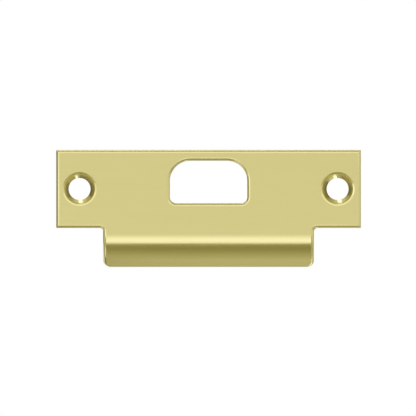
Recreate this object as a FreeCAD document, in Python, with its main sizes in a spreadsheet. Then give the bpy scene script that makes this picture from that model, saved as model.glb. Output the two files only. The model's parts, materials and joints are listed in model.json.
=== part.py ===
# Door strike plate: one stamped brass sheet with two countersunk screw holes, a latch opening
# and a curved lip that leads the latch in. Millimetres, +Z up. The origin is midway between the
# two screw holes on the back face, +X runs along the plate, -Y is the side that shows, and the
# lip hangs below and curls back towards +Y.

import FreeCAD, Part
import math
import os
import Sketcher
from FreeCAD import Vector

NODE = "strike_plate"

# Every driving dimension: alias, value in millimetres or degrees, what it measures.
SIZES = [
    ("plate_length", 123.825, "end to end, 4 7/8 in"),
    ("plate_width", 31.75, "top edge to the ears' lower edge, 1 1/4 in"),
    ("thickness", 2.38, "sheet, 3/32 in"),
    ("lip_width", 85.725, "tongue between the two ears, 3 3/8 in"),
    ("neck_height", 2.2, "flat run below the ears before the lip bends"),
    ("bend_radius", 12.7, "inside of the lip's bend, 1/2 in"),
    ("lip_angle", 45.0, "degrees that the lip is turned back"),
    ("lip_tail", 5.0, "straight run past the bend"),
    ("lip_corner", 3.3, "radius of the lip's two free corners"),
    ("ear_corner", 0.45, "radius of the plate's four corners"),
    ("notch_corner", 1.4, "inside radius where an ear meets the tongue"),
    ("screw_inset", 9.525, "hole centre to the plate's end, 3/8 in"),
    ("screw_bore", 8.9, "diameter of the screw hole at the back"),
    ("countersink_mouth", 12.9, "diameter at which the cone would meet the front face"),
    ("countersink_angle", 82.0, "degrees, for a flat-head screw"),
    ("opening_width", 31.3, "latch opening along the plate"),
    ("opening_height", 17.15, "latch opening across the plate"),
    ("opening_margin", 4.45, "bridge between the opening and the top edge"),
    ("opening_upper_corner", 8.25, "radius of the opening's two upper corners"),
    ("opening_lower_corner", 2.4, "radius of the opening's two lower corners"),
    ("front_round", 1.4, "rolled edge on the side that shows"),
    ("rim_bevel", 0.45, "how far a countersink's eased rim reaches out over the front face"),
    ("rim_tilt", 20.0, "degrees that the eased rim falls from the front face"),
    ("back_break", 0.2, "deburred edge on the mounting side"),
    ("cut_margin", 5.0, "how far a cut runs past the sheet"),
]

# Shorthand for the places that several features share, as expressions on the sheet.
OUTER_BEND = "(sizes.bend_radius + sizes.thickness)"
HALF_WIDTH = "(sizes.plate_width / 2)"
BEND_START = f"({HALF_WIDTH} + sizes.neck_height)"
SCREW_REACH = "(sizes.plate_length / 2 - sizes.screw_inset)"
CUT_END = "(sizes.plate_length / 2 + sizes.cut_margin)"
CUT_TOP = f"({HALF_WIDTH} + sizes.cut_margin)"
CUT_DROP = f"({BEND_START} + {OUTER_BEND} + sizes.lip_tail + sizes.cut_margin)"
OPENING_TOP = f"({HALF_WIDTH} - sizes.opening_margin)"

# Words for what a sketch knows by number: the points of a curve count up from its whole length, and
# the sketch's own axes count up to the last one, which is minus one.
POINT_WORDS = ("whole", "start", "end", "centre")
AXIS_WORDS = ("upright axis", "level axis")
ORIGIN_POINT = ("level axis", "start")

# Two places closer than this are the same place, in millimetres.
TOUCH = 1e-4


# The document, its sheet of sizes, and small helpers for sketches.

doc = FreeCAD.newDocument("door_strike_plate")
sheet = doc.addObject("Spreadsheet::Sheet", "sizes")
for row, (alias, value, note) in enumerate(SIZES, start=1):
    sheet.set(f"A{row}", note)
    sheet.set(f"B{row}", str(value))
    sheet.setAlias(f"B{row}", alias)
doc.recompute()
size = {alias: float(sheet.get(alias)) for alias, _, _ in SIZES}

outer_bend = size["bend_radius"] + size["thickness"]
half_width = size["plate_width"] / 2
bend_start = half_width + size["neck_height"]
lip_turn = math.radians(size["lip_angle"])

body = doc.addObject("PartDesign::Body", "StrikePlate")
body.Label = NODE


def origin_plane(role):
    return next(plane for plane in body.Origin.OriginFeatures if plane.Role == role)


def new_sketch(name, role):
    sketch = body.newObject("Sketcher::SketchObject", name)
    sketch.AttachmentSupport = (origin_plane(role), "")
    sketch.MapMode = "FlatFace"
    return sketch


def line(sketch, first, last):
    return sketch.addGeometry(Part.LineSegment(Vector(*first, 0), Vector(*last, 0)))


def arc(sketch, centre, radius, start_angle, end_angle):
    circle = Part.Circle(Vector(*centre, 0), Vector(0, 0, 1), radius)
    return sketch.addGeometry(Part.ArcOfCircle(circle, math.radians(start_angle), math.radians(end_angle)))


def sketch_number(reference):
    if reference in POINT_WORDS:
        return POINT_WORDS.index(reference)
    if reference in AXIS_WORDS:
        return AXIS_WORDS.index(reference) - len(AXIS_WORDS)
    return reference


def numbered(references):
    return [sketch_number(reference) for reference in references]


def relate(sketch, kind, *references):
    return sketch.addConstraint(Sketcher.Constraint(kind, *numbered(references)))


def dimension(sketch, name, kind, references, value, expression):
    """A sketch dimension that takes its value from the sheet of sizes."""
    index = sketch.addConstraint(Sketcher.Constraint(kind, *numbered(references), value))
    sketch.renameConstraint(index, name)
    sketch.setExpression(f"Constraints.{name}", expression)


# The bent sheet: its section in the YZ plane, padded along the plate's length.


def bend_point(radius):
    """A point where the bend ends, on the inside or the outside of the sheet."""
    return (
        size["bend_radius"] - radius * math.cos(lip_turn),
        -bend_start - radius * math.sin(lip_turn),
    )


def tail_point(radius):
    """A point at the lip's free end, on the inside or the outside of the sheet."""
    y, z = bend_point(radius)
    return (y + size["lip_tail"] * math.sin(lip_turn), z - size["lip_tail"] * math.cos(lip_turn))


def section_sketch():
    sketch = new_sketch("SheetSection", "YZ_Plane")
    inside, turn = size["bend_radius"], size["lip_angle"]
    pivot = (inside, -bend_start)
    top = line(sketch, (-size["thickness"], half_width), (0, half_width))
    back = line(sketch, (0, half_width), (0, -bend_start))
    inner = arc(sketch, pivot, inside, 180, 180 + turn)
    inner_tail = line(sketch, bend_point(inside), tail_point(inside))
    lip_end = line(sketch, tail_point(inside), tail_point(outer_bend))
    outer_tail = line(sketch, tail_point(outer_bend), bend_point(outer_bend))
    outer = arc(sketch, pivot, outer_bend, 180, 180 + turn)
    front = line(sketch, (-size["thickness"], -bend_start), (-size["thickness"], half_width))

    relate(sketch, "Coincident", top, "end", back, "start")
    relate(sketch, "Tangent", back, "end", inner, "start")
    relate(sketch, "Tangent", inner, "end", inner_tail, "start")
    relate(sketch, "Coincident", inner_tail, "end", lip_end, "start")
    relate(sketch, "Coincident", lip_end, "end", outer_tail, "start")
    relate(sketch, "Tangent", outer_tail, "end", outer, "end")
    relate(sketch, "Tangent", outer, "start", front, "start")
    relate(sketch, "Coincident", front, "end", top, "start")
    relate(sketch, "Coincident", inner, "centre", outer, "centre")
    relate(sketch, "Horizontal", top)
    relate(sketch, "Vertical", back)
    relate(sketch, "Vertical", front)
    relate(sketch, "Perpendicular", inner_tail, lip_end)
    relate(sketch, "Parallel", inner_tail, outer_tail)
    relate(sketch, "PointOnObject", back, "start", "upright axis")

    dimension(sketch, "sheet", "DistanceX", (top, "start", top, "end"), size["thickness"], "sizes.thickness")
    dimension(sketch, "top_edge", "DistanceY", (*ORIGIN_POINT, back, "start"), half_width, HALF_WIDTH)
    dimension(sketch, "bend_line", "DistanceY", (back, "end", *ORIGIN_POINT), bend_start, BEND_START)
    dimension(sketch, "inside_radius", "Radius", (inner,), inside, "sizes.bend_radius")
    dimension(sketch, "turn", "Angle", (inner,), lip_turn, "sizes.lip_angle * 1 deg")
    dimension(sketch, "tail", "Distance", (inner_tail,), size["lip_tail"], "sizes.lip_tail")
    return sketch


def pad_sheet(sketch):
    pad = body.newObject("PartDesign::Pad", "BentSheet")
    pad.Profile = sketch
    pad.SideType = "Symmetric"
    pad.setExpression("Length", "sizes.plate_length")
    return pad


# Cuts through the sheet, each drawn on the XZ plane as it is seen from the front.


def cut_through(sketch, name):
    pocket = body.newObject("PartDesign::Pocket", name)
    pocket.Profile = sketch
    pocket.SideType = "Symmetric"
    pocket.Type = "ThroughAll"
    return pocket


def notch_sketch():
    """The corner cut away below the right ear, which leaves the narrower tongue for the lip."""
    sketch = new_sketch("EarNotchOutline", "XZ_Plane")
    side, radius = size["lip_width"] / 2, size["notch_corner"]
    far = size["plate_length"] / 2 + size["cut_margin"]
    low = bend_start + outer_bend + size["lip_tail"] + size["cut_margin"]
    ear_edge = line(sketch, (side + radius, -half_width), (far, -half_width))
    outside = line(sketch, (far, -half_width), (far, -low))
    below = line(sketch, (far, -low), (side, -low))
    tongue_edge = line(sketch, (side, -low), (side, -half_width - radius))
    corner = arc(sketch, (side + radius, -half_width - radius), radius, 90, 180)

    relate(sketch, "Coincident", ear_edge, "end", outside, "start")
    relate(sketch, "Coincident", outside, "end", below, "start")
    relate(sketch, "Coincident", below, "end", tongue_edge, "start")
    relate(sketch, "Tangent", tongue_edge, "end", corner, "end")
    relate(sketch, "Tangent", corner, "start", ear_edge, "start")
    relate(sketch, "Horizontal", ear_edge)
    relate(sketch, "Vertical", outside)
    relate(sketch, "Horizontal", below)
    relate(sketch, "Vertical", tongue_edge)

    dimension(sketch, "tongue_side", "DistanceX", (*ORIGIN_POINT, below, "end"), side, "sizes.lip_width / 2")
    dimension(sketch, "ear_line", "DistanceY", (ear_edge, "end", *ORIGIN_POINT), half_width, HALF_WIDTH)
    dimension(sketch, "past_end", "DistanceX", (*ORIGIN_POINT, below, "start"), far, CUT_END)
    dimension(sketch, "past_lip", "DistanceY", (below, "start", *ORIGIN_POINT), low, CUT_DROP)
    dimension(sketch, "corner_radius", "Radius", (corner,), radius, "sizes.notch_corner")
    return sketch


def opening_sketch():
    """The latch opening: wide round upper corners, small round lower ones."""
    sketch = new_sketch("LatchOpeningOutline", "XZ_Plane")
    side, upper, lower = size["opening_width"] / 2, size["opening_upper_corner"], size["opening_lower_corner"]
    high = half_width - size["opening_margin"]
    low = high - size["opening_height"]
    top = line(sketch, (upper - side, high), (side - upper, high))
    upper_right = arc(sketch, (side - upper, high - upper), upper, 0, 90)
    right = line(sketch, (side, high - upper), (side, low + lower))
    lower_right = arc(sketch, (side - lower, low + lower), lower, 270, 360)
    bottom = line(sketch, (side - lower, low), (lower - side, low))
    lower_left = arc(sketch, (lower - side, low + lower), lower, 180, 270)
    left = line(sketch, (-side, low + lower), (-side, high - upper))
    upper_left = arc(sketch, (upper - side, high - upper), upper, 90, 180)

    relate(sketch, "Tangent", top, "end", upper_right, "end")
    relate(sketch, "Tangent", upper_right, "start", right, "start")
    relate(sketch, "Tangent", right, "end", lower_right, "end")
    relate(sketch, "Tangent", lower_right, "start", bottom, "start")
    relate(sketch, "Tangent", bottom, "end", lower_left, "end")
    relate(sketch, "Tangent", lower_left, "start", left, "start")
    relate(sketch, "Tangent", left, "end", upper_left, "end")
    relate(sketch, "Tangent", upper_left, "start", top, "start")
    relate(sketch, "Horizontal", bottom)
    relate(sketch, "Vertical", left)
    relate(sketch, "Vertical", right)
    relate(sketch, "Equal", upper_left, upper_right)
    relate(sketch, "Equal", lower_left, lower_right)
    relate(sketch, "Symmetric", top, "start", top, "end", "upright axis")

    width, height = size["opening_width"], size["opening_height"]
    dimension(sketch, "width", "DistanceX", (left, "start", right, "start"), width, "sizes.opening_width")
    dimension(sketch, "height", "DistanceY", (bottom, "start", top, "start"), height, "sizes.opening_height")
    dimension(sketch, "top_line", "DistanceY", (*ORIGIN_POINT, top, "start"), high, OPENING_TOP)
    dimension(sketch, "upper", "Radius", (upper_right,), upper, "sizes.opening_upper_corner")
    dimension(sketch, "lower", "Radius", (lower_right,), lower, "sizes.opening_lower_corner")
    return sketch


def screw_hole():
    """The right-hand screw hole, countersunk from the front face."""
    sketch = new_sketch("ScrewHoleCentre", "XZ_Plane")
    sketch.setExpression("AttachmentOffset.Base.z", "sizes.thickness")
    reach, radius = size["plate_length"] / 2 - size["screw_inset"], size["screw_bore"] / 2
    circle = sketch.addGeometry(Part.Circle(Vector(reach, 0, 0), Vector(0, 0, 1), radius))
    relate(sketch, "PointOnObject", circle, "centre", "level axis")
    dimension(sketch, "reach", "DistanceX", (*ORIGIN_POINT, circle, "centre"), reach, SCREW_REACH)
    dimension(sketch, "bore", "Radius", (circle,), radius, "sizes.screw_bore / 2")
    doc.recompute()

    hole = body.newObject("PartDesign::Hole", "ScrewHole")
    hole.Profile = sketch
    hole.DepthType = "ThroughAll"
    hole.HoleCutType = "Countersink"
    hole.HoleCutCustomValues = True
    hole.setExpression("Diameter", "sizes.screw_bore")
    hole.setExpression("HoleCutDiameter", "sizes.countersink_mouth")
    hole.setExpression("HoleCutCountersinkAngle", "sizes.countersink_angle")
    return hole


def mirror_left(name, features):
    mirror = body.newObject("PartDesign::Mirrored", name)
    mirror.Originals = features
    mirror.MirrorPlane = (origin_plane("YZ_Plane"), [""])
    body.Tip = mirror
    return mirror


# Rounded corners and edges, found by where they lie on the sheet.


def skin_depth(point):
    """How far a point lies below the front skin, following the flat, the bend and the tail."""
    y, z = point.y - size["bend_radius"], point.z + bend_start
    if z >= 0:
        return point.y + size["thickness"]
    if math.atan2(-z, -y) <= lip_turn:
        return outer_bend - math.hypot(y, z)
    return outer_bend + y * math.cos(lip_turn) + z * math.sin(lip_turn)


def face_depths(face):
    """The least and greatest depth of a face's corners below the front skin."""
    depths = [skin_depth(vertex.Point) for vertex in face.Vertexes]
    return min(depths), max(depths)


def skin_border(shape, depth):
    """The edges where the skin at that depth, front or back, meets the sheet's cut walls."""
    skin = [f for f in shape.Faces if all(abs(d - depth) < TOUCH for d in face_depths(f))]
    border = {}
    for face in skin:
        for edge in face.Edges:
            border.setdefault(edge.hashCode(), []).append(edge)
    return [edges[0] for edges in border.values() if len(edges) == 1]


def is_circle(edge, diameter):
    return isinstance(edge.Curve, Part.Circle) and abs(edge.Curve.Radius * 2 - diameter) < TOUCH


def crosses_sheet(edge):
    """True for a straight edge that runs from the front skin to the back one."""
    depths = sorted(skin_depth(vertex.Point) for vertex in edge.Vertexes)
    return len(depths) == 2 and abs(depths[0]) < TOUCH and abs(depths[1] - size["thickness"]) < TOUCH


def dress_edges(kind, name, edges):
    """A fillet or chamfer on those edges of the newest shape; its sizes are still to be set."""
    base = body.Tip
    hashes = {edge.hashCode() for edge in edges}
    names = [f"Edge{i}" for i, edge in enumerate(base.Shape.Edges, start=1) if edge.hashCode() in hashes]
    dressed = body.newObject(kind, name)
    dressed.Base = (base, names)
    body.Tip = dressed
    return dressed


def round_edges(name, alias, edges):
    fillet = dress_edges("PartDesign::Fillet", name, edges)
    fillet.setExpression("Radius", f"sizes.{alias}")
    doc.recompute()


def bevel_rims():
    mouth = size["countersink_mouth"]
    rims = [edge for edge in body.Tip.Shape.Edges if is_circle(edge, mouth)]
    bevel = dress_edges("PartDesign::Chamfer", "CountersinkRims", rims)
    bevel.ChamferType = "Distance and Angle"
    bevel.setExpression("Size", "sizes.rim_bevel")
    bevel.setExpression("Angle", "sizes.rim_tilt")
    doc.recompute()


def round_lip():
    crossing = [edge for edge in body.Tip.Shape.Edges if crosses_sheet(edge)]
    round_edges("LipCorners", "lip_corner", [e for e in crossing if e.CenterOfMass.z < -bend_start])


def round_skins():
    mouth, bore = size["countersink_mouth"], size["screw_bore"]
    front = [e for e in skin_border(body.Tip.Shape, 0) if not is_circle(e, mouth)]
    round_edges("FrontRound", "front_round", front)
    bevel_rims()
    back = [e for e in skin_border(body.Tip.Shape, size["thickness"]) if not is_circle(e, bore)]
    round_edges("BackBreak", "back_break", back)


# The plate's four corners are smaller than the rolled edge, so the edge is rolled round sharp corners
# first, and their tips are cut off afterwards.


def ear_tip_sketch(name, upper):
    """The tip outside a small arc at the plate's right end, at its upper or lower corner."""
    sketch = new_sketch(name, "XZ_Plane")
    way = 1 if upper else -1
    radius, end = size["ear_corner"], size["plate_length"] / 2
    far, high = end + size["cut_margin"], way * (half_width + size["cut_margin"])
    edge_z, turn_z = way * half_width, way * (half_width - radius)
    inner = line(sketch, (end - radius, edge_z), (end - radius, high))
    beyond = line(sketch, (end - radius, high), (far, high))
    outside = line(sketch, (far, high), (far, turn_z))
    level = line(sketch, (far, turn_z), (end, turn_z))
    from_angle = 0 if upper else 270
    corner = arc(sketch, (end - radius, turn_z), radius, from_angle, from_angle + 90)
    at_end, at_edge = ("start", "end") if upper else ("end", "start")

    relate(sketch, "Coincident", inner, "end", beyond, "start")
    relate(sketch, "Coincident", beyond, "end", outside, "start")
    relate(sketch, "Coincident", outside, "end", level, "start")
    relate(sketch, "Coincident", level, "end", corner, at_end)
    relate(sketch, "Coincident", corner, at_edge, inner, "start")
    relate(sketch, "Vertical", inner)
    relate(sketch, "Horizontal", beyond)
    relate(sketch, "Vertical", outside)
    relate(sketch, "Horizontal", level)
    relate(sketch, "Horizontal", corner, "centre", corner, at_end)
    relate(sketch, "Vertical", corner, "centre", corner, at_edge)

    edge_line, cut_line = ((*ORIGIN_POINT, inner, "start"), (*ORIGIN_POINT, inner, "end"))
    if not upper:
        edge_line, cut_line = ((inner, "start", *ORIGIN_POINT), (inner, "end", *ORIGIN_POINT))
    dimension(sketch, "corner_radius", "Radius", (corner,), radius, "sizes.ear_corner")
    dimension(sketch, "end_line", "DistanceX", (*ORIGIN_POINT, level, "end"), end, "sizes.plate_length / 2")
    dimension(sketch, "edge_line", "DistanceY", edge_line, half_width, HALF_WIDTH)
    dimension(sketch, "past_end", "DistanceX", (*ORIGIN_POINT, outside, "start"), far, CUT_END)
    dimension(sketch, "past_edge", "DistanceY", cut_line, abs(high), CUT_TOP)
    return sketch


def cut_ear_tips():
    upper = cut_through(ear_tip_sketch("UpperTipOutline", True), "UpperEarTip")
    lower = cut_through(ear_tip_sketch("LowerTipOutline", False), "LowerEarTip")
    doc.recompute()
    mirror_left("LeftEarTips", [upper, lower])
    doc.recompute()


def build():
    pad_sheet(section_sketch())
    notch = cut_through(notch_sketch(), "EarNotch")
    cut_through(opening_sketch(), "LatchOpening")
    hole = screw_hole()
    doc.recompute()
    mirror_left("LeftHalf", [notch, hole])
    doc.recompute()
    round_lip()
    round_skins()
    cut_ear_tips()


def check():
    failed = [o.Name for o in doc.Objects if "Invalid" in o.State or "Error" in o.State]
    if failed:
        raise RuntimeError(f"these features failed: {failed}")
    if body.Shape.isNull() or not body.Shape.isValid() or len(body.Shape.Solids) != 1:
        raise RuntimeError("the strike plate isn't one valid solid")
    steps = [o for o in body.Group if o.isDerivedFrom("PartDesign::Feature")]
    for before, after in zip(steps, steps[1:]):
        if before.Shape.Volume - after.Shape.Volume < TOUCH:
            raise RuntimeError(f"{after.Name} took nothing off the sheet")


build()
doc.recompute()
check()
os.makedirs("parts", exist_ok=True)
body.Shape.exportStep(f"parts/{NODE}.step")
box = body.Shape.optimalBoundingBox(False, False)
print(f"{NODE}: {box.XLength:.3f} x {box.YLength:.3f} x {box.ZLength:.3f} mm, {body.Shape.Volume:.1f} mm3")
print(f"z from {box.ZMin:.3f} to {box.ZMax:.3f}, y from {box.YMin:.3f} to {box.YMax:.3f}")
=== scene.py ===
# %% [markdown]
# A brass door strike plate, modelled by hand.
#
# The strike plate is the half of a door lock that is screwed to the door frame. As the door closes, the
# sprung latch rides over the curved lip, drops into the opening and holds the door shut. The real plate
# is one piece of sheet brass: it is stamped to a T shape, pierced, bent along the tongue, countersunk
# for two screws, polished and lacquered. This lesson follows the same order, so each step in Blender
# stands for a step in the workshop.

# %% Load the measured frame
import json
import math

import bmesh
import bpy
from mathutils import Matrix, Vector
from mathutils.bvhtree import BVHTree


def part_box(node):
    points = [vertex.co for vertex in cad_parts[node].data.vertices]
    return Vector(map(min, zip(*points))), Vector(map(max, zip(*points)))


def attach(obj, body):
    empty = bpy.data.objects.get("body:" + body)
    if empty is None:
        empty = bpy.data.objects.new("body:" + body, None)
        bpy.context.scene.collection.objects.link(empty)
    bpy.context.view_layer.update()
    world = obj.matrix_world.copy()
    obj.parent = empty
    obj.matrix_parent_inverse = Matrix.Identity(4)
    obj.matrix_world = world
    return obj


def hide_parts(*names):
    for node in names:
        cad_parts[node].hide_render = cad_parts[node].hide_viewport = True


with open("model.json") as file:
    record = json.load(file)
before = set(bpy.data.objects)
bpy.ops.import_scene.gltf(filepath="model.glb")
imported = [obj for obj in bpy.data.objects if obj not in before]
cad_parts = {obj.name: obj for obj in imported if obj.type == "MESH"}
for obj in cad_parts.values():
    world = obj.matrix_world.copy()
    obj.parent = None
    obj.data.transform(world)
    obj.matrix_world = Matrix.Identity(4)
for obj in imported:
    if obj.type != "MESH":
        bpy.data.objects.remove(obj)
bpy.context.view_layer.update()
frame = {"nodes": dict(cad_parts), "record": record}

# %% [markdown]
# Sizes come before shapes. The solid in the frame already has the plate's true length, width and
# thickness, so those are read from its box, and the spacing and size of the screw holes from its
# record. Only what the box can't tell, such as the radius of a corner, is written here, next to the
# step that needs it. Blender works in metres, so a small factor turns the workshop's millimetres into
# metres.

# %% Read the main sizes
MM = 0.001
NEAR = 0.01 * MM
SOLID = "strike_plate"
solid_low, solid_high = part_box(SOLID)
screw_pattern = frame["record"]["mounts"][0]["dims"]
half_length = solid_high.x
half_width = solid_high.z
thickness = -solid_low.y
screw_reach = screw_pattern["spacing_x_mm"] * MM / 2
bore_radius = screw_pattern["hole_r_mm"] * MM
print(f"plate is {2 * half_length / MM:.3f} x {2 * half_width / MM:.2f} x {thickness / MM:.2f} mm")

# %% [markdown]
# Edit mode works on what is selected. By hand one would click or drag a box; in a script it is safer to
# pick parts by where they are, because their numbering changes with every step. This helper clears the
# selection, picks the vertices, edges or faces that pass a test, and says how many it found.

# %% Select by place
def select_where(kind, test):
    bpy.ops.mesh.select_mode(type=kind)
    bpy.ops.mesh.select_all(action="DESELECT")
    shape = bmesh.from_edit_mesh(bpy.context.object.data)
    parts = {"VERT": shape.verts, "EDGE": shape.edges, "FACE": shape.faces}[kind]
    chosen = [part for part in parts if test(part)]
    for part in chosen:
        part.select_set(True)
    shape.select_flush_mode()
    bmesh.update_edit_mesh(bpy.context.object.data)
    return len(chosen)


def all_at_height(part, height):
    return all(abs(vertex.co.z - height) < NEAR for vertex in part.verts)


def report(step):
    shape = bmesh.from_edit_mesh(bpy.context.object.data)
    loose = sum(not edge.is_manifold for edge in shape.edges)
    print(f"{step}: {len(shape.verts)} vertices, {len(shape.faces)} faces, {loose} open edges")


# %% [markdown]
# The blank is a T: a long plate with a wide tongue below it that will become the lip. It could be drawn
# point by point, but it is quicker to start from a plane of the plate's size, cut it at the tongue's
# two sides, and pull the middle of its lower edge down. The cuts are then dissolved, which leaves one
# clean face whose corners can be rounded. The plane stands on the level where the deburred back edge
# ends; the front and back skins are raised from it later.

# %% Cut the T-shaped blank
LIP_WIDTH = 85.725 * MM
NECK_HEIGHT = 2.2 * MM
BACK_BREAK = 0.2 * MM
FLAT_ANGLE = math.radians(0.5)
QUARTER_TURN = math.pi / 2
UPRIGHT = (QUARTER_TURN, 0, 0)
sheet_level = -BACK_BREAK
bend_height = -half_width - NECK_HEIGHT

bpy.ops.object.select_all(action="DESELECT")
bpy.ops.mesh.primitive_plane_add(size=1, location=(0, sheet_level, 0), rotation=UPRIGHT)
plate = bpy.context.object
plate.name = "polished_strike_plate"
plate.scale = (2 * half_length, 2 * half_width, 1)
bpy.ops.object.transform_apply(location=True, rotation=True, scale=True)
bpy.ops.object.mode_set(mode="EDIT")
for side in (-1, 1):
    bpy.ops.mesh.select_all(action="SELECT")
    bpy.ops.mesh.bisect(plane_co=(side * LIP_WIDTH / 2, 0, 0), plane_no=(1, 0, 0))
select_where("EDGE", lambda edge: all_at_height(edge, -half_width)
             and edge.calc_length() > LIP_WIDTH - NEAR)
bpy.ops.mesh.extrude_region_move(TRANSFORM_OT_translate={"value": (0, 0, -NECK_HEIGHT)})
bpy.ops.mesh.select_all(action="SELECT")
bpy.ops.mesh.dissolve_limited(angle_limit=FLAT_ANGLE)
report("T-shaped blank")

# %% [markdown]
# A stamping die has no perfectly sharp corners. Rounding a corner of a flat face is a bevel of its
# vertex: the offset is the radius, and the segments say how finely the arc is divided. The two inner
# corners, between ear and tongue, come first: because the face has no other edges there, the arc fills
# them instead of cutting in. The outer corners are so small that they wait until the edge has been
# rolled.

# %% Round the inner corners
NOTCH_CORNER = 1.4 * MM
SMALL_ARC_STEPS = 8


def round_vertices(radius, steps, test):
    found = select_where("VERT", lambda vertex: test(vertex.co))
    bpy.ops.mesh.bevel(offset=radius, segments=steps, affect="VERTICES", clamp_overlap=False)
    return found


def at_notch(place):
    return abs(abs(place.x) - LIP_WIDTH / 2) < NEAR and abs(place.z + half_width) < NEAR


notches = round_vertices(NOTCH_CORNER, SMALL_ARC_STEPS, at_notch)
bpy.ops.mesh.select_all(action="SELECT")
bpy.ops.mesh.delete(type="ONLY_FACE")
print(f"rounded {notches} inner corners, and kept the outline alone")

# %% [markdown]
# The latch drops into an opening with wide round upper corners and small lower ones. A boolean cut
# through the finished plate would also make it, but it leaves crossing edges that spoil the rolled rim.
# Drawing the opening as a second outline inside the first keeps every edge where it belongs: the sheet
# is filled between the two afterwards.

# %% Draw the latch opening
OPENING_WIDTH = 31.3 * MM
OPENING_HEIGHT = 17.15 * MM
OPENING_MARGIN = 4.45 * MM
UPPER_CORNER = 8.25 * MM
LOWER_CORNER = 2.4 * MM
WIDE_ARC_STEPS = 28
LOWER_ARC_STEPS = 12
opening_top = half_width - OPENING_MARGIN
opening_bottom = opening_top - OPENING_HEIGHT
opening_centre = (0, sheet_level, opening_top - OPENING_HEIGHT / 2)


def at_opening_corner(place, height):
    return abs(abs(place.x) - OPENING_WIDTH / 2) < NEAR and abs(place.z - height) < NEAR


bpy.ops.mesh.primitive_plane_add(size=1, location=opening_centre, rotation=UPRIGHT)
bpy.ops.transform.resize(value=(OPENING_WIDTH, 1, OPENING_HEIGHT), center_override=opening_centre)
round_vertices(UPPER_CORNER, WIDE_ARC_STEPS, lambda place: at_opening_corner(place, opening_top))
round_vertices(LOWER_CORNER, LOWER_ARC_STEPS, lambda place: at_opening_corner(place, opening_bottom))
select_where("FACE", lambda face: True)
bpy.ops.mesh.delete(type="ONLY_FACE")
report("outlines of blank and opening")

# %% [markdown]
# Each screw hole ends in a countersink, and polishing has eased its rim into a narrow, shallow bevel.
# The circle drawn here is where that bevel leaves the flat face, a little outside the mouth of the
# cone. The sheet is now filled between all the outlines. A face can't have holes in it, so some cut has
# to join them, and it should meet every outline squarely, or the rolled edges would later run across
# it. A cut straight through the screws does: it is marked as a seam, which lets all the other cuts be
# dissolved. Each circle then gets a disc of its own, which keeps a clean ring of vertices waiting for
# the countersink.

# %% Mark the screw holes and fill the sheet
MOUTH_RADIUS = 6.45 * MM
RIM_BEVEL = 0.45 * MM
HOLE_STEPS = 128
rim_radius = MOUTH_RADIUS + RIM_BEVEL


def from_screw_axis(place, side):
    return math.hypot(place.x - side * screw_reach, place.z)


def within_rim(edge, side):
    return all(from_screw_axis(vertex.co, side) < rim_radius + NEAR for vertex in edge.verts)


for side in (-1, 1):
    centre = (side * screw_reach, sheet_level, 0)
    bpy.ops.mesh.primitive_circle_add(vertices=HOLE_STEPS, radius=rim_radius,
                                      location=centre, rotation=UPRIGHT)
bpy.ops.mesh.select_all(action="SELECT")
bpy.ops.mesh.fill(use_beauty=False)
bpy.ops.mesh.select_all(action="SELECT")
bpy.ops.mesh.bisect(plane_co=(0, 0, 0), plane_no=(0, 0, 1))
select_where("EDGE", lambda edge: all_at_height(edge, 0))
bpy.ops.mesh.mark_seam()
bpy.ops.mesh.select_all(action="SELECT")
bpy.ops.mesh.dissolve_limited(angle_limit=FLAT_ANGLE, delimit={"SEAM"})
for side in (-1, 1):
    select_where("EDGE", lambda edge: within_rim(edge, side))
    bpy.ops.mesh.edge_face_add()
report("flat sheet with two discs")

# %% [markdown]
# The lip is bent on a press brake: the tongue leaves the plate along a smooth arc and runs out in a
# short straight tail. Spin is the tool for an arc: it sweeps the lower edge about the axis of the bend
# in small steps. The tail is an extrusion along the direction that the arc has reached, and its two
# free corners are rounded like the others.

# %% Bend the lip
BEND_RADIUS = 12.7 * MM
LIP_TURN = math.radians(45)
LIP_TAIL = 5.0 * MM
LIP_CORNER = 3.3 * MM
BEND_STEPS = 36
LIP_ARC_STEPS = 16
tail_run = (0, LIP_TAIL * math.sin(LIP_TURN), -LIP_TAIL * math.cos(LIP_TURN))
bend_end = bend_height - (BEND_RADIUS + BACK_BREAK) * math.sin(LIP_TURN)

select_where("EDGE", lambda edge: all_at_height(edge, bend_height))
bpy.ops.mesh.spin(steps=BEND_STEPS, angle=LIP_TURN, center=(0, BEND_RADIUS, bend_height), axis=(-1, 0, 0))
select_where("EDGE", lambda edge: all_at_height(edge, bend_end))
bpy.ops.mesh.extrude_region_move(TRANSFORM_OT_translate={"value": tail_run})
round_vertices(LIP_CORNER, LIP_ARC_STEPS, lambda place: place.z < bend_end - NEAR)
bpy.ops.mesh.select_all(action="SELECT")
bpy.ops.mesh.normals_make_consistent(inside=False)
facing_back = select_where("FACE", lambda face: face.normal.y > 0)
if facing_back:
    bpy.ops.mesh.select_all(action="SELECT")
    bpy.ops.mesh.flip_normals()
report("bent sheet")

# %% [markdown]
# So far the plate is a skin without thickness. The Solidify modifier turns it into sheet metal, and its
# even thickness keeps the two sides of the bend on one centre. The layer added here is only the
# straight part of the cut edge: the rolled front and the deburred back are shaped onto it next.

# %% Give the sheet its thickness
FRONT_ROUND = 1.4 * MM
wall_height = thickness - FRONT_ROUND - BACK_BREAK

bpy.ops.object.mode_set(mode="OBJECT")
bpy.ops.object.modifier_add(type="SOLIDIFY")
layer = plate.modifiers[-1]
layer.thickness = wall_height
layer.offset = 1
layer.use_even_offset = True
bpy.ops.object.modifier_apply(modifier=layer.name)
bpy.ops.object.mode_set(mode="EDIT")
report("sheet with straight cut edges")

# %% [markdown]
# Stamping pulls the metal down at the rim of the cut, and polishing softens it further, so the edge
# that shows is a quarter round. A bevel could cut it, but at the tight corners its new edges tend to
# cross. Here the front skin grows instead: each inset moves its border in a little and lifts it a
# little, by steps that follow a quarter circle. The back gets the same treatment on a much smaller
# scale, because it is only deburred.

# %% Roll the front edge and break the back edge
ROLL_STEPS = 10
BREAK_STEPS = 7
SKIN_SLACK = 0.02 * MM


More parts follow.
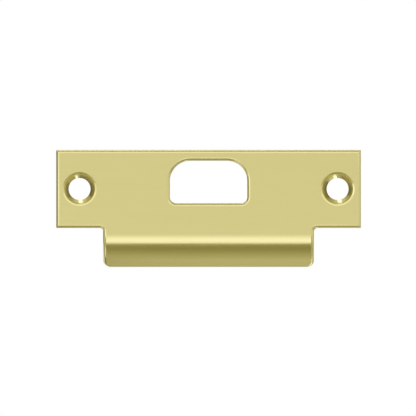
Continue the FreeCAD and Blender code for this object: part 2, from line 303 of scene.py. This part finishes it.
def depth_in_sheet(place):
    """How far a point lies in front of the back skin, across the flat, round the bend or off the tail."""
    y = place.y - BEND_RADIUS
    z = place.z - bend_height
    if z >= 0:
        return -place.y
    if math.atan2(-z, -y) <= LIP_TURN:
        return math.hypot(y, z) - BEND_RADIUS
    return -y * math.cos(LIP_TURN) - z * math.sin(LIP_TURN) - BEND_RADIUS


def lies_at(face, depth):
    return all(abs(depth_in_sheet(vertex.co) - depth) < SKIN_SLACK for vertex in face.verts)


def raise_quarter_round(level, radius, steps):
    """Inset the skin at that depth in steps whose run and rise follow a quarter circle."""
    found = select_where("FACE", lambda face: lies_at(face, level))
    for step in range(steps):
        start = QUARTER_TURN * step / steps
        end = QUARTER_TURN * (step + 1) / steps
        run = radius * (math.cos(start) - math.cos(end))
        rise = radius * (math.sin(end) - math.sin(start))
        bpy.ops.mesh.inset(thickness=run, depth=rise)
    print(f"raised {found} faces by {radius / MM:.2f} mm")


raise_quarter_round(BACK_BREAK + wall_height, FRONT_ROUND, ROLL_STEPS)
raise_quarter_round(BACK_BREAK, BACK_BREAK, BREAK_STEPS)
report("sheet with rolled and broken edges")

# %% [markdown]
# The four outer corners have a smaller radius than the rolled edge. Rounded beforehand, their short
# arcs would have run into each other during the insets, and a bevel of the finished corner pushes the
# long strips beside it out of line. A file works better: Bisect trims the tip with one flat cut after
# another, each turned a little further, and fills every cut. Only the strips that meet at the corner
# are selected, so the cuts can't reach the lip.

# %% Round the outer corners
EAR_CORNER = 0.45 * MM
FINE_CUT = 0.0005 * MM
HALF_STEP = 0.5


def meets_at_tip(face, side, level):
    """Whether a strip of the wall or of a rounded edge reaches this outer corner."""
    from_end = [half_length - side * vertex.co.x for vertex in face.verts]
    from_edge = [half_width - level * vertex.co.z for vertex in face.verts]
    touches = any(max(pair) < FRONT_ROUND for pair in zip(from_end, from_edge))
    is_strip = min(max(from_end), max(from_edge)) < FRONT_ROUND + NEAR
    return touches and is_strip


for side, level in ((-1, -1), (-1, 1), (1, -1), (1, 1)):
    pivot = Vector((side * (half_length - EAR_CORNER), 0, level * (half_width - EAR_CORNER)))
    for step in range(SMALL_ARC_STEPS):
        turn = QUARTER_TURN * (step + HALF_STEP) / SMALL_ARC_STEPS
        outward = Vector((side * math.cos(turn), 0, level * math.sin(turn)))
        select_where("FACE", lambda face: meets_at_tip(face, side, level))
        bpy.ops.mesh.bisect(plane_co=pivot + EAR_CORNER * outward, plane_no=outward, use_fill=True,
                            clear_outer=True, threshold=FINE_CUT)
report("sheet with rounded corners")

# %% [markdown]
# A countersink is a cone that lets a flat-head screw sit flush. Each disc on the front is inset twice:
# a short way down the shallow bevel of the rim, then down the cone to the width of the bore. The disc
# on the back is inset to the same width. With both small discs removed, Bridge Edge Loops joins the two
# rings, and the wall it makes is the bore.

# %% Sink the screw holes
COUNTERSINK_ANGLE = math.radians(82)
RIM_TILT = math.radians(20)
rim_fall = math.tan(RIM_TILT)
cone_fall = 1 / math.tan(COUNTERSINK_ANGLE / 2)
rim_run = RIM_BEVEL * cone_fall / (cone_fall - rim_fall)
cone_top = rim_radius - rim_run
cone_run = cone_top - bore_radius


def is_disc(face, side):
    return len(face.verts) == HOLE_STEPS and from_screw_axis(face.calc_center_median(), side) < NEAR


for side in (-1, 1):
    select_where("FACE", lambda face: is_disc(face, side) and face.normal.y < 0)
    bpy.ops.mesh.inset(thickness=rim_run, depth=-rim_run * rim_fall)
    bpy.ops.mesh.inset(thickness=cone_run, depth=-cone_run * cone_fall)
    bpy.ops.mesh.delete(type="ONLY_FACE")
    select_where("FACE", lambda face: is_disc(face, side) and face.normal.y > 0)
    bpy.ops.mesh.inset(thickness=rim_radius - bore_radius, depth=0)
    bpy.ops.mesh.delete(type="ONLY_FACE")
    select_where("EDGE", lambda edge: edge.is_boundary)
    bpy.ops.mesh.bridge_edge_loops()
report("plate with countersunk holes")

# %% [markdown]
# On polished metal the shading is the shape: a flat face whose normals lean at its border shows a bent
# reflection. Smooth shading by angle keeps the true corners sharp, and the Weighted Normal modifier
# lets each large flat face decide the normals along its border, so that only the narrow strips between
# the faces turn.

# %% Shade the plate smoothly
CREASE = math.radians(15)
SQUARE_ON = 0.99999
LARGE_FACE = 100 * MM * MM

bpy.ops.object.mode_set(mode="OBJECT")
bpy.ops.object.shade_smooth_by_angle(angle=CREASE)
bpy.ops.object.modifier_add(type="WEIGHTED_NORMAL")
weights = plate.modifiers[-1]
weights.keep_sharp = True
bpy.ops.object.modifier_apply(modifier=weights.name)
large_flats = [face for face in plate.data.polygons
               if -face.normal.y > SQUARE_ON and face.area > LARGE_FACE]
facing = min(-plate.data.corner_normals[i].vector.y for face in large_flats for i in face.loop_indices)
lean = math.degrees(math.acos(min(1, facing)))
print(f"normals on the large flat front faces lean by {lean:.3f} degrees at most")

# %% [markdown]
# A modelled piece that stands for a solid has to keep its form. The check measures how far the new
# surface lies from the solid's own, in both directions, and prints the larger distance. Then the plate
# takes the solid's place: the solid is hidden, and the plate rides on the root body.

# %% Compare with the solid and take its place
def search_tree(mesh):
    mesh.calc_loop_triangles()
    return BVHTree.FromPolygons([v.co for v in mesh.vertices], [t.vertices for t in mesh.loop_triangles])


def furthest(points_of, tree):
    return max(tree.find_nearest(vertex.co)[3] for vertex in points_of.vertices)


solid = frame["nodes"][SOLID].data
outward = furthest(plate.data, search_tree(solid))
inward = furthest(solid, search_tree(plate.data))
print(f"the plate and the solid agree within {max(outward, inward) / MM:.3f} mm")
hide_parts(SOLID)
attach(plate, "root")

# %% [markdown]
# One piece of brass still has several finishes, because each tool leaves its own mark. The front is
# buffed along its length and lacquered; the stamped wall is burnished near the front and torn near the
# back; the countersinks are turned; and the back keeps the dull skin of the rolling mill. All four
# share a few helpers. Every pattern reads Object coordinates, so it is tied to the metal and its scale
# is in real lengths.

# %% Helpers for the finishes
def start_finish(name):
    finish = bpy.data.materials.new(name)
    finish.use_nodes = True
    tree = finish.node_tree
    shader = tree.nodes["Principled BSDF"]
    shader.inputs["Metallic"].default_value = 1
    return finish, tree, shader


def metal_place(tree):
    return tree.nodes.new("ShaderNodeTexCoord").outputs["Object"]


def grain(tree, place, per_metre, detail):
    """Noise with its own count of grains per metre along each axis; few along one axis make streaks."""
    mapping = tree.nodes.new("ShaderNodeMapping")
    mapping.inputs["Scale"].default_value = per_metre
    noise = tree.nodes.new("ShaderNodeTexNoise")
    noise.inputs["Scale"].default_value = 1
    noise.inputs["Detail"].default_value = detail
    tree.links.new(place, mapping.inputs["Vector"])
    tree.links.new(mapping.outputs["Vector"], noise.inputs["Vector"])
    return noise.outputs["Fac"]


def spread_to(tree, factor, source, target):
    """Stretch the source range of a factor to the target range, and hold it there."""
    spread = tree.nodes.new("ShaderNodeMapRange")
    spread.inputs["From Min"].default_value, spread.inputs["From Max"].default_value = source
    spread.inputs["To Min"].default_value, spread.inputs["To Max"].default_value = target
    tree.links.new(factor, spread.inputs["Value"])
    return spread.outputs["Result"]


def blend_colours(tree, factor, first, second):
    mix = tree.nodes.new("ShaderNodeMix")
    mix.data_type = "RGBA"
    mix.inputs["A"].default_value = (*first, 1)
    mix.inputs["B"].default_value = (*second, 1)
    tree.links.new(factor, mix.inputs["Factor"])
    return mix.outputs["Result"]


def combine(tree, kind, first, second):
    maths = tree.nodes.new("ShaderNodeMath")
    maths.operation = kind
    for socket, value in zip(maths.inputs, (first, second)):
        if isinstance(value, (int, float)):
            socket.default_value = value
        else:
            tree.links.new(value, socket)
    return maths.outputs["Value"]


def raise_grain(tree, shader, height, relief):
    bump = tree.nodes.new("ShaderNodeBump")
    bump.inputs["Distance"].default_value = relief
    tree.links.new(height, bump.inputs["Height"])
    tree.links.new(bump.outputs["Normal"], shader.inputs["Normal"])


def lacquer(shader, roughness):
    shader.inputs["Coat Weight"].default_value = LACQUER_COVER
    shader.inputs["Coat Roughness"].default_value = roughness


MICRON = 0.001 * MM
LACQUER_COVER = 0.8
MID_GRAIN = (0.3, 0.7)
NONE_TO_ALL = (0, 1)
print("helpers for four finishes are ready")

# %% [markdown]
# The front. Brass is a metal, so its colour is the colour of its reflections, and the roughness says
# how sharp they are. A buffing wheel run along the plate leaves fine streaks a fraction of a millimetre
# wide, which change the roughness and, by a micron or two, the height. Over them lies a clear lacquer,
# which the coat of the shader gives. A very soft, wide cloud of a second brass tone keeps the large
# flat from looking printed.

# %% Polished and lacquered front
BRASS = (0.618, 0.554, 0.220)
BRASS_DEEP = (0.602, 0.536, 0.203)
BUFFED_STREAKS = (35, 2400, 2400)
BUFFED_DETAIL = 4
BUFFED_ROUGHNESS = (0.18, 0.24)
BUFFED_RELIEF = 1.5 * MICRON
TONE_CLOUDS = (28, 28, 28)
CLOUD_DETAIL = 2
FRONT_LACQUER = 0.08


def polished_front():
    finish, tree, shader = start_finish("polished_brass_front")
    place = metal_place(tree)
    streaks = grain(tree, place, BUFFED_STREAKS, BUFFED_DETAIL)
    clouds = grain(tree, place, TONE_CLOUDS, CLOUD_DETAIL)
    tree.links.new(blend_colours(tree, clouds, BRASS, BRASS_DEEP), shader.inputs["Base Color"])
    tree.links.new(spread_to(tree, streaks, MID_GRAIN, BUFFED_ROUGHNESS), shader.inputs["Roughness"])
    raise_grain(tree, shader, streaks, BUFFED_RELIEF)
    lacquer(shader, FRONT_LACQUER)
    return finish


front_finish = polished_front()
print("made", front_finish.name)

# %% [markdown]
# The cut wall. A punch first shears the sheet, which burnishes the wall beside the front, and then
# tears it off, which leaves the rest dull and grainy. The pattern has to follow the sheet round the
# bend, so each vertex stores how deep it lies in the sheet, and the finish reads that attribute instead
# of a coordinate.

# %% Sheared wall
TORN_BRASS = (0.520, 0.440, 0.165)
SHEAR_MARKS = (2600, 260, 2600)
SHEAR_DETAIL = 5
SHEAR_RELIEF = 12 * MICRON
TEAR_LINE = (0.30, 0.62)
TEAR_WAVE = 0.2
TORN_TO_BURNISHED = (0.40, 0.20)
MARK_ROUGHNESS = 0.12
DEPTH = "depth_in_sheet"

depths = plate.data.attributes.new(DEPTH, "FLOAT", "POINT")
depths.data.foreach_set("value", [depth_in_sheet(v.co) / thickness for v in plate.data.vertices])


def sheared_wall():
    finish, tree, shader = start_finish("sheared_brass_wall")
    marks = grain(tree, metal_place(tree), SHEAR_MARKS, SHEAR_DETAIL)
    depth = tree.nodes.new("ShaderNodeAttribute")
    depth.attribute_name = DEPTH
    ragged = combine(tree, "ADD", depth.outputs["Fac"], combine(tree, "MULTIPLY", marks, TEAR_WAVE))
    burnished = spread_to(tree, ragged, TEAR_LINE, NONE_TO_ALL)
    dulled = combine(tree, "MULTIPLY", marks, MARK_ROUGHNESS)
    base = spread_to(tree, burnished, NONE_TO_ALL, TORN_TO_BURNISHED)
    tree.links.new(blend_colours(tree, burnished, TORN_BRASS, BRASS_DEEP), shader.inputs["Base Color"])
    tree.links.new(combine(tree, "ADD", base, dulled), shader.inputs["Roughness"])
    raise_grain(tree, shader, marks, SHEAR_RELIEF)
    return finish


wall_finish = sheared_wall()
print("made", wall_finish.name)

# %% [markdown]
# The countersinks. A cutter that turns in the hole leaves fine rings, so this pattern depends on the
# distance from the screw's axis and on nothing else. Taking the size of X without its sign lets one
# finish serve both holes.

# %% Turned countersinks
CUT_BRASS = (0.572, 0.506, 0.193)
CUT_BRASS_DEEP = (0.551, 0.483, 0.178)
RINGS_PER_METRE = 5200
TURNED_ROUGHNESS = (0.14, 0.24)
TURNED_RELIEF = 3 * MICRON
CONE_LACQUER = 0.1


def turned_cone():
    finish, tree, shader = start_finish("turned_brass_countersink")
    split = tree.nodes.new("ShaderNodeSeparateXYZ")
    tree.links.new(metal_place(tree), split.inputs["Vector"])
    along = combine(tree, "SUBTRACT", combine(tree, "ABSOLUTE", split.outputs["X"], 0), screw_reach)
    squared = combine(tree, "MULTIPLY", along, along)
    total = combine(tree, "ADD", squared, combine(tree, "MULTIPLY", split.outputs["Z"], split.outputs["Z"]))
    radius = combine(tree, "SQRT", total, 0)
    rings = tree.nodes.new("ShaderNodeTexNoise")
    rings.noise_dimensions = "1D"
    rings.inputs["Scale"].default_value = RINGS_PER_METRE
    tree.links.new(radius, rings.inputs["W"])
    height = rings.outputs["Fac"]
    tree.links.new(blend_colours(tree, height, CUT_BRASS, CUT_BRASS_DEEP), shader.inputs["Base Color"])
    tree.links.new(spread_to(tree, height, MID_GRAIN, TURNED_ROUGHNESS), shader.inputs["Roughness"])
    raise_grain(tree, shader, height, TURNED_RELIEF)
    lacquer(shader, CONE_LACQUER)
    return finish


cone_finish = turned_cone()
print("made", cone_finish.name)

# %% [markdown]
# The back lies against the door frame and is never polished. It keeps the long marks of the rolls,
# broader and deeper than buffing streaks, and a slightly browner, uneven skin.

# %% Mill finish on the back
MILL_BRASS = (0.545, 0.465, 0.190)
MILL_BROWN = (0.470, 0.380, 0.140)
ROLL_MARKS = (14, 1100, 1100)
ROLL_DETAIL = 5
ROLL_RELIEF = 6 * MICRON
SKIN_PATCHES = (70, 70, 70)
PATCH_DETAIL = 4
STAIN_RANGE = (0.15, 0.40)
MILL_ROUGHNESS = (0.32, 0.46)


def mill_back():
    finish, tree, shader = start_finish("mill_brass_back")
    place = metal_place(tree)
    marks = grain(tree, place, ROLL_MARKS, ROLL_DETAIL)
    patches = grain(tree, place, SKIN_PATCHES, PATCH_DETAIL)
    stained = spread_to(tree, combine(tree, "MULTIPLY", marks, patches), STAIN_RANGE, NONE_TO_ALL)
    tree.links.new(blend_colours(tree, stained, MILL_BRASS, MILL_BROWN), shader.inputs["Base Color"])
    tree.links.new(spread_to(tree, marks, MID_GRAIN, MILL_ROUGHNESS), shader.inputs["Roughness"])
    raise_grain(tree, shader, marks, ROLL_RELIEF)
    return finish


back_finish = mill_back()
print("made", back_finish.name)

# %% [markdown]
# Each finish goes to its own faces. They are picked by where they lie in the sheet: what is deeper than
# the deburred edge is the back, what stands between the two rounded edges is the wall, and what lies
# inside a countersink's rim is turned. All the rest is the polished front, which the plate wears from
# the start.

# %% Give each face its finish
def face_depths(face):
    depths_here = [depth_in_sheet(vertex.co) for vertex in face.verts]
    return min(depths_here), max(depths_here)


def on_back(face):
    return face_depths(face)[1] < BACK_BREAK + SKIN_SLACK


def on_wall(face):
    least, most = face_depths(face)
    return least > BACK_BREAK - SKIN_SLACK and most < BACK_BREAK + wall_height + SKIN_SLACK


def in_countersink(face):
    side = math.copysign(1, face.calc_center_median().x)
    return all(from_screw_axis(vertex.co, side) < cone_top + NEAR for vertex in face.verts)


plate.data.materials.clear()
for finish in (front_finish, wall_finish, back_finish, cone_finish):
    plate.data.materials.append(finish)
bpy.ops.object.mode_set(mode="EDIT")
for slot, test in enumerate((on_wall, on_back, in_countersink), start=1):
    found = select_where("FACE", test)
    plate.active_material_index = slot
    bpy.ops.object.material_slot_assign()
    print(f"{plate.data.materials[slot].name} covers {found} faces")
bpy.ops.object.mode_set(mode="OBJECT")

# %% [markdown]
# The studio. Polished metal shows its surroundings, so lighting it means building what it should
# reflect. A white world stands for a bright room: the camera and the reflections see plain white, and
# everything else gets a softer share of it. A pale floor lies far below the plate.

# %% White room and pale floor
ROOM_FILL = 0.75
FLOOR_HEIGHT = -1.25
FLOOR_SIZE = 6
FLOOR_PALE = (0.86, 0.86, 0.86)
FLOOR_ROUGHNESS = 0.9

room = bpy.data.worlds.new("white_room")
room.use_nodes = True
bpy.context.scene.world = room
sky = room.node_tree.nodes["Background"]
sky.inputs["Color"].default_value = (1, 1, 1, 1)
path = room.node_tree.nodes.new("ShaderNodeLightPath")
seen = combine(room.node_tree, "ADD", path.outputs["Is Camera Ray"], path.outputs["Is Glossy Ray"])
seen = combine(room.node_tree, "ADD", seen, path.outputs["Is Transmission Ray"])
brightness = spread_to(room.node_tree, seen, NONE_TO_ALL, (ROOM_FILL, 1))
room.node_tree.links.new(brightness, sky.inputs["Strength"])

bpy.ops.object.select_all(action="DESELECT")
bpy.ops.mesh.primitive_plane_add(size=FLOOR_SIZE, location=(0, 0, FLOOR_HEIGHT))
floor = bpy.context.object
floor.name = "studio_floor"
pale = bpy.data.materials.new("pale_floor")
pale.use_nodes = True
pale.node_tree.nodes["Principled BSDF"].inputs["Base Color"].default_value = (*FLOOR_PALE, 1)
pale.node_tree.nodes["Principled BSDF"].inputs["Roughness"].default_value = FLOOR_ROUGHNESS
floor.data.materials.append(pale)
print("room is white, floor lies", -FLOOR_HEIGHT, "m below the screws")

# %% [markdown]
# Softboxes add light to the white room. In a studio they are lamps behind white cloth; here each is an
# area lamp, and the metal shows its glow on top of the room's. The wide one above the front draws the
# pale line along the plate's upward edges, the one at the left draws the line along its left ends, and
# the one overhead shines in the lower side of each countersink. Their light is cool, because brass
# takes most of the blue out of it again. A lamp's power is its glow times its area and pi, so a glow of
# 1 is as bright as the white room.

# %% Softboxes
COOL = (0.66, 0.70, 1.0)
PLATE_CENTRE = Vector((0, 0, 0))


def softbox(name, place, width, height, glow):
    lamp = bpy.data.lights.new(name, "AREA")
    lamp.shape = "RECTANGLE"
    lamp.size = width
    lamp.size_y = height
    lamp.color = COOL
    lamp.energy = glow * math.pi * width * height
    box = bpy.data.objects.new(name, lamp)
    box.location = place
    box.rotation_euler = (PLATE_CENTRE - box.location).to_track_quat("-Z", "Y").to_euler()
    box.visible_camera = False
    bpy.context.scene.collection.objects.link(box)
    print(f"{name}: {width} x {height} m, glow {glow}")


softbox("upper_front_softbox", place=(0, -0.6, 0.34), width=1.3, height=0.44, glow=0.58)
softbox("overhead_softbox", place=(-0.14, 0.17, 1.2), width=0.3, height=0.5, glow=2.8)
softbox("left_softbox", place=(-0.34, -0.6, 0), width=0.3, height=0.3, glow=1.15)

# %% [markdown]
# Cards change what the metal sees in one direction only. In a studio they are sheets of paper on
# stands, dark ones to take light away and silvered ones to throw it back. Here each is a plane that
# glows in the tone of its paper and shows in reflections alone, so it never stands in the camera's way.
# A card of two papers runs evenly from the first to the second along its height, which softens the
# reflection on that side.

# %% A card of one or two papers
LYING = (0, 0, 0)
LYING_ACROSS = (0, 0, -QUARTER_TURN)
FACING_LEFT = (QUARTER_TURN, 0, -QUARTER_TURN)
FACING_RIGHT = (QUARTER_TURN, 0, QUARTER_TURN)


def glowing_paper(name, paper, far_paper, ramp):
    finish = bpy.data.materials.new(name)
    finish.use_nodes = True
    tree = finish.node_tree
    tree.nodes.remove(tree.nodes["Principled BSDF"])
    shine = tree.nodes.new("ShaderNodeEmission")
    shine.inputs["Color"].default_value = (*paper, 1)
    if far_paper:
        split = tree.nodes.new("ShaderNodeSeparateXYZ")
        tree.links.new(metal_place(tree), split.inputs["Vector"])
        share = spread_to(tree, split.outputs["Y"], ramp, NONE_TO_ALL)
        tree.links.new(blend_colours(tree, share, paper, far_paper), shine.inputs["Color"])
    tree.links.new(shine.outputs["Emission"], tree.nodes["Material Output"].inputs["Surface"])
    return finish


def card(name, place, turn, width, height, paper, far_paper=None, ramp=None):
    bpy.ops.object.select_all(action="DESELECT")
    bpy.ops.mesh.primitive_plane_add(size=1, location=place, rotation=turn)
    sheet = bpy.context.object
    sheet.name = name
    sheet.scale = (width, height, 1)
    sheet.data.materials.append(glowing_paper(name + "_paper", paper, far_paper, ramp))
    sheet.visible_camera = False
    sheet.visible_diffuse = False
    sheet.visible_shadow = False
    print(f"{name}: {width} x {height} m")


# %% [markdown]
# The lip is a curved mirror: each line along it looks a little further down than the one above. A
# silver card low in front draws the bright band where the bend begins, and it fades to white upwards,
# so the band starts softly. Dark cards make the dark band under it: one stands in front, and others lie
# below the plate and play a dark floor. The topmost of these grows lighter towards the back, as the
# straight tail of the lip does towards its end. Wider cards of a middle tone behind them are for the
# shallow rims of the countersinks, which look to the front at a slant and are dark at the top, lighter
# at either side. Cards that lie over one another are kept a few millimetres apart.

# %% Cards for the lip and the rims
FRONT = -0.6
CARD_GAP = 0.03
LOW_LAYER = -0.41
PAPER_STEP = 0.005
SILVER_PAPER = (1.68, 1.71, 2.1)
WHITE_PAPER = (1.0, 1.0, 1.0)
DARK_PAPER = (0.365, 0.346, 0.172)
MID_PAPER = (0.62, 0.60, 0.44)
WARM_PAPER = (0.715, 0.70, 0.56)
middle_layer = LOW_LAYER + PAPER_STEP
top_layer = middle_layer + PAPER_STEP

card("bounce_card", (0, FRONT, -0.2125), UPRIGHT, width=0.4, height=0.325,
     paper=SILVER_PAPER, far_paper=WHITE_PAPER, ramp=(-0.03, 0.5))
card("front_low_card", (0, FRONT - CARD_GAP, -0.28), UPRIGHT, width=0.5, height=0.28, paper=DARK_PAPER)
card("front_wide_card", (0, FRONT - 2 * CARD_GAP, -0.28), UPRIGHT, width=1.6, height=0.28, paper=MID_PAPER)
card("floor_front_card", (0, -0.495, middle_layer), LYING, width=0.5, height=0.27, paper=DARK_PAPER)
card("floor_wide_card", (0, -0.495, LOW_LAYER), LYING, width=1.6, height=0.33, paper=MID_PAPER)
card("floor_card", (0.015, -0.305, top_layer), LYING, width=0.29, height=0.67,
     paper=DARK_PAPER, far_paper=WARM_PAPER, ramp=(0.0, 0.45))

# %% [markdown]
# A countersink's cone is steep, so it looks sideways past the plate: its lower part sees what is
# overhead, its upper part the floor, and its sides see the sides. Cards all round, set a little behind
# the plate, turn the cone dark except for two wedges. The lower wedge is the gap between the overhead
# cards, which grow darker away from it, with the softbox above it. The upper wedge is a bright card on
# the floor, to the right; it lies so far off that both holes see it in the same direction. The left and
# right cards also darken the plate's own left and right edges.

# %% Cards for the countersinks
CEILING = 0.62
SIDE = 0.55
BLACK_PAPER = (0.20, 0.188, 0.10)
CHARCOAL_PAPER = (0.27, 0.255, 0.14)
PALE_PAPER = (0.72, 0.70, 0.60)
MIRROR_PAPER = (3.1, 3.15, 3.7)
CLOUD_PAPER = (1.05, 1.04, 0.97)

card("back_left_card", (-0.35, 0.055, top_layer), LYING, width=0.6, height=0.19, paper=CHARCOAL_PAPER)
card("back_right_card", (0.67, 0.25, FLOOR_HEIGHT + PAPER_STEP), LYING_ACROSS, width=0.4, height=1.0,
     paper=MIRROR_PAPER, far_paper=CLOUD_PAPER, ramp=(-0.35, -0.1))
card("left_card", (-SIDE, 0.175, 0.12), FACING_RIGHT, width=0.65, height=0.46, paper=BLACK_PAPER)
card("left_low_card", (-SIDE, 0.045, -0.24), FACING_RIGHT, width=0.19, height=0.26, paper=BLACK_PAPER)
card("right_card", (SIDE, 0.08, 0.05), FACING_LEFT, width=0.14, height=0.80, paper=BLACK_PAPER)
card("overhead_right_card", (0.97, 0.2, CEILING), LYING_ACROSS, width=0.4, height=1.5,
     paper=PALE_PAPER, far_paper=CHARCOAL_PAPER, ramp=(-0.5, -0.1))
card("overhead_left_card", (-1.2, 0.2, CEILING), LYING_ACROSS, width=0.4, height=1.5,
     paper=CHARCOAL_PAPER, far_paper=PALE_PAPER, ramp=(-0.4, 0.5))

# %% [markdown]
# The rolled edges come next, where a quarter round sweeps its view from the front to the back. Grey
# cards overhead, in front of the plate and behind it, put a thin grey line on the upward edges, and
# white cards at the lower left keep the left end of the lip bright.

# %% Cards for the rolled edges
SLATE_PAPER = (0.52, 0.50, 0.40)
GREY_PAPER = (0.60, 0.58, 0.48)
SNOW_PAPER = (1.2, 1.2, 1.35)

card("overhead_card", (0, -0.165, CEILING), LYING, width=0.8, height=0.39, paper=SLATE_PAPER)
card("overhead_back_card", (0, 0.6, CEILING + CARD_GAP), LYING, width=2.0, height=0.6, paper=GREY_PAPER)
card("lower_left_card", (-0.32, -0.2, middle_layer), LYING, width=0.36, height=0.32, paper=SNOW_PAPER)
card("low_back_left_card", (-0.5, 0.41, middle_layer), LYING, width=0.8, height=0.5, paper=SNOW_PAPER)

# %% [markdown]
# The camera looks straight at the front, so the plate is drawn without perspective: an orthographic
# camera keeps the sides of the lip parallel. Its scale is the width of the picture in metres, worked
# out from how many pixels a millimetre of the plate takes.

# %% Camera
PICTURE_PIXELS = 416
PIXELS_PER_MM = 2.4628
SCREW_LINE_PIXEL = 188.98
CENTRE_PIXEL = 208.6
CAMERA_DISTANCE = 1
picture_width = PICTURE_PIXELS / PIXELS_PER_MM * MM
camera_x = (PICTURE_PIXELS / 2 - CENTRE_PIXEL) / PIXELS_PER_MM * MM
camera_z = (SCREW_LINE_PIXEL - PICTURE_PIXELS / 2) / PIXELS_PER_MM * MM

view = bpy.data.cameras.new("front_camera")
view.type = "ORTHO"
view.ortho_scale = picture_width
camera = bpy.data.objects.new("front_camera", view)
camera.location = (camera_x, -CAMERA_DISTANCE, camera_z)
camera.rotation_euler = UPRIGHT
bpy.context.scene.collection.objects.link(camera)
bpy.context.scene.camera = camera
bpy.context.scene.view_settings.view_transform = "Standard"
print(f"the picture is {picture_width / MM:.1f} mm wide")
